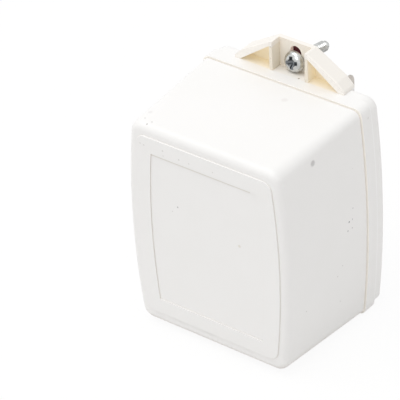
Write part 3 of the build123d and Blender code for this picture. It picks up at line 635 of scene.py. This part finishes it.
# Retaining washer: a disc punched from red vulcanised fibre and pushed over the thread onto the
# screw's neck. It stands upright behind the ear, so that the loose screw can't drop out, and shows
# dark red and fibrous through the ear's slot.
def patterned(name, tones, size, detail, finish, relief=None, stretch=None, fineness=0.5):
    """A material whose tone runs between two by a noise pattern of a real size, stretched along the
    axes where that is given. The finish is the shader's plain inputs; the relief is the strength
    and depth of the pattern's dents."""
    material = bpy.data.materials.new(name)
    tree = new_tree(material)
    place = add_node(tree, "ShaderNodeTexCoord").outputs["Object"]
    if stretch is not None:
        place = add_node(tree, "ShaderNodeMapping", links={0: place}, inputs={"Scale": stretch}).outputs[0]
    pattern = add_node(
        tree, "ShaderNodeTexNoise", links={"Vector": place},
        inputs={"Scale": 1 / size, "Detail": detail, "Roughness": fineness})
    tone = add_node(
        tree, "ShaderNodeMix", data_type="RGBA", links={0: pattern.outputs["Fac"]},
        inputs={6: linear(tones[0]), 7: linear(tones[1])})
    shader = add_node(
        tree, "ShaderNodeBsdfPrincipled", links={"Base Color": tone.outputs[2]}, inputs=finish)
    if relief is not None:
        strength, sunk = relief
        bump = add_node(
            tree, "ShaderNodeBump", links={"Height": pattern.outputs["Fac"]},
            inputs={"Strength": strength, "Distance": sunk})
        tree.links.new(bump.outputs[0], shader.inputs["Normal"])
    add_node(tree, "ShaderNodeOutputMaterial", links={"Surface": shader.outputs[0]})
    return material


strand_size = 0.5 * mm
fibre = patterned(
    "red_vulcanised_fibre", ("#521E25", "#76303A"), strand_size, detail=5.0, fineness=0.7,
    relief=(0.4, 0.04 * mm), finish={"Roughness": 0.62, "IOR": 1.5})
dress("screw_retaining_washer", fibre)

# Plug blades: flat blades stamped from brass strip and nickel plated, their tips rounded and
# bevelled, each with its detent hole. Drawing marks run along the strip, and wear mottles it.
mark_width = 0.3 * mm
worn_size = 3 * mm
blade_plate = bpy.data.materials.new("nickel_plated_brass_strip")
tree = new_tree(blade_plate)
place = add_node(tree, "ShaderNodeTexCoord").outputs["Object"]
along = add_node(tree, "ShaderNodeMapping", links={0: place}, inputs={"Scale": (1.0, 0.04, 1.0)})
drawn = add_node(
    tree, "ShaderNodeTexNoise", links={"Vector": along.outputs[0]},
    inputs={"Scale": 1 / mark_width, "Detail": 3.0})
worn = add_node(
    tree, "ShaderNodeTexNoise", links={"Vector": place}, inputs={"Scale": 1 / worn_size, "Detail": 3.0})
blade_colour = add_node(
    tree, "ShaderNodeMix", data_type="RGBA", links={0: worn.outputs["Fac"]},
    inputs={6: linear("#A89F97"), 7: linear("#D6D1CB")})
bump = add_node(
    tree, "ShaderNodeBump", links={"Height": drawn.outputs["Fac"]},
    inputs={"Strength": 0.35, "Distance": 0.02 * mm})
metal = add_node(
    tree, "ShaderNodeBsdfPrincipled", inputs={"Metallic": 1.0, "Roughness": 0.27},
    links={"Base Color": blade_colour.outputs[2], "Normal": bump.outputs[0]})
add_node(tree, "ShaderNodeOutputMaterial", links={"Surface": metal.outputs[0]})
for name in ("plug_blade_left", "plug_blade_right"):
    dress(name, blade_plate)

# Blade retainer and bobbin: moulded in unfilled natural nylon, which is milky, slightly yellow
# and waxy to the eye. The retainer is held by two heat-formed studs, the bobbin by the core.
flow_size = 8 * mm
nylon = patterned(
    "natural_nylon", ("#E2DAC3", "#ECE6D4"), flow_size, detail=3.0,
    finish={"Roughness": 0.38, "IOR": 1.53, "Subsurface Weight": 0.3, "Subsurface Scale": 1 * mm})
for name in ("blade_retainer", "bobbin"):
    dress(name, nylon)

# Core: E and I laminations, silicon steel sheets with a grey oxide coat, stacked one on another
# along Y and held by the base's posts. Their cut edges show as fine dark lines.
sheet_thick = 0.5 * mm
blotch_size = 6 * mm
lamination = bpy.data.materials.new("oxide_coated_silicon_steel")
tree = new_tree(lamination)
place = add_node(tree, "ShaderNodeTexCoord").outputs["Object"]
axes = add_node(tree, "ShaderNodeSeparateXYZ", links={0: place})
sheet_count = add_node(
    tree, "ShaderNodeMath", operation="DIVIDE", inputs={1: sheet_thick}, links={0: axes.outputs[1]})
sheet_part = add_node(tree, "ShaderNodeMath", operation="FRACT", links={0: sheet_count.outputs[0]})
joint_line = add_node(
    tree, "ShaderNodeMapRange", links={"Value": sheet_part.outputs[0]},
    inputs={"From Min": 0.0, "From Max": 0.25, "To Min": 1.0, "To Max": 0.0})
blotch = add_node(
    tree, "ShaderNodeTexNoise", links={"Vector": place},
    inputs={"Scale": 1 / blotch_size, "Detail": 4.0})
oxide = add_node(
    tree, "ShaderNodeMix", data_type="RGBA", links={0: blotch.outputs["Fac"]},
    inputs={6: linear("#5A5E63"), 7: linear("#7A7D80")})
edge_colour = add_node(
    tree, "ShaderNodeMix", data_type="RGBA", inputs={7: linear("#2E2C2A")},
    links={0: joint_line.outputs[0], 6: oxide.outputs[2]})
bump = add_node(
    tree, "ShaderNodeBump", links={"Height": joint_line.outputs[0]}, invert=True,
    inputs={"Strength": 0.5, "Distance": 0.04 * mm})
steel = add_node(
    tree, "ShaderNodeBsdfPrincipled", inputs={"Metallic": 0.85, "Roughness": 0.48},
    links={"Base Color": edge_colour.outputs[2], "Normal": bump.outputs[0]})
add_node(tree, "ShaderNodeOutputMaterial", links={"Surface": steel.outputs[0]})
for name in ("e_lamination_stack", "i_lamination_stack"):
    dress(name, lamination)

# Windings: round copper magnet wire wound in layers in the bobbin's two bays, its enamel amber
# and glossy. The primary is many turns of fine wire, the secondary fewer of thicker wire.
for winding, wire in (("primary_winding", 0.18 * mm), ("secondary_winding", 0.6 * mm)):
    copper = bpy.data.materials.new("enamelled_copper_" + winding.split("_")[0])
    tree = new_tree(copper)
    place = add_node(tree, "ShaderNodeTexCoord").outputs["Object"]
    axes = add_node(tree, "ShaderNodeSeparateXYZ", links={0: place})
    turn_angle = add_node(
        tree, "ShaderNodeMath", operation="DIVIDE", inputs={1: wire / (2 * pi)},
        links={0: axes.outputs[0]})
    wave = add_node(tree, "ShaderNodeMath", operation="SINE", links={0: turn_angle.outputs[0]})
    # Painted light and shade: each wire is painted lighter at its crest and darker between turns.
    lit = add_node(
        tree, "ShaderNodeMapRange", links={"Value": wave.outputs[0]},
        inputs={"From Min": -1.0, "From Max": 1.0, "To Min": 0.0, "To Max": 1.0})
    enamel = add_node(
        tree, "ShaderNodeMix", data_type="RGBA", links={0: lit.outputs[0]},
        inputs={6: linear("#6B2F14"), 7: linear("#C4703A")})
    bump = add_node(
        tree, "ShaderNodeBump", links={"Height": wave.outputs[0]},
        inputs={"Strength": 0.6, "Distance": wire / 4})
    wire_metal = add_node(
        tree, "ShaderNodeBsdfPrincipled", inputs={"Metallic": 0.9, "Roughness": 0.25, "Coat Weight": 0.6},
        links={"Base Color": enamel.outputs[2], "Normal": bump.outputs[0]})
    add_node(tree, "ShaderNodeOutputMaterial", links={"Surface": wire_metal.outputs[0]})
    dress(winding, copper)

# Winding tapes: three turns of yellow polyester film over each winding, smooth and glossy, with
# faint creases where the wires press through.
crease_size = 2 * mm
film = patterned(
    "yellow_polyester_film", ("#D9AE35", "#F0CE5E"), crease_size, detail=2.0,
    relief=(0.4, 0.03 * mm), finish={"Roughness": 0.2, "IOR": 1.6})
for name in ("primary_tape", "secondary_tape"):
    dress(name, film)

# Bobbin pins and thermal fuse: hot-tinned copper posts pressed into the flanges, and a drawn
# metal fuse case on the primary. Dull silver with soft ripples from the dip.
ripple_size = 0.8 * mm
tinned = patterned(
    "hot_tinned_copper", ("#B4B3AE", "#D5D4D0"), ripple_size, detail=2.0,
    relief=(0.4, 0.05 * mm), finish={"Metallic": 1.0, "Roughness": 0.32})
for name in (
    "primary_pin_upper", "primary_pin_lower", "secondary_pin_inner", "secondary_pin_outer", "thermal_fuse",
):
    dress(name, tinned)

# Leads: stranded wire in extruded vinyl, black on the mains side and red on the low-voltage side,
# soldered to pins, lugs and tabs. Faintly matt, with the strands pressing through.
press_size = 1.2 * mm
for tones, leads in (
    (("#161618", "#2B2B2D"), ("primary_lead_fused", "fuse_lead", "primary_lead_direct")),
    (("#7E1712", "#B02A22"), ("secondary_lead_right", "secondary_lead_left")),
):
    vinyl = patterned(
        "extruded_vinyl_" + leads[0].split("_")[0], tones, press_size, detail=2.0,
        relief=(0.3, 0.05 * mm), finish={"Roughness": 0.45, "IOR": 1.52})
    for name in leads:
        dress(name, vinyl)

# Terminal plates: brass strip stamped to an angle, one leg under the tray's roof and tapped for
# the screw, the other passing up through it as a solder tab. Yellow with rolling lines along X.
line_width = 0.4 * mm
plain_brass = patterned(
    "stamped_plain_brass", ("#B08A3E", "#D8B566"), line_width, detail=3.0, stretch=(0.05, 1.0, 1.0),
    relief=(0.3, 0.02 * mm), finish={"Metallic": 1.0, "Roughness": 0.3})
for name in ("terminal_plate_left", "terminal_plate_right"):
    dress(name, plain_brass)

# Wire washers and terminal screws: square steel washers that clamp the wire's end, and slotted
# binding-head screws through them into the plates, all bright zinc plated.
for name in ("wire_washer_left", "wire_washer_right", "terminal_screw_left", "terminal_screw_right"):
    dress(name, bright_zinc)
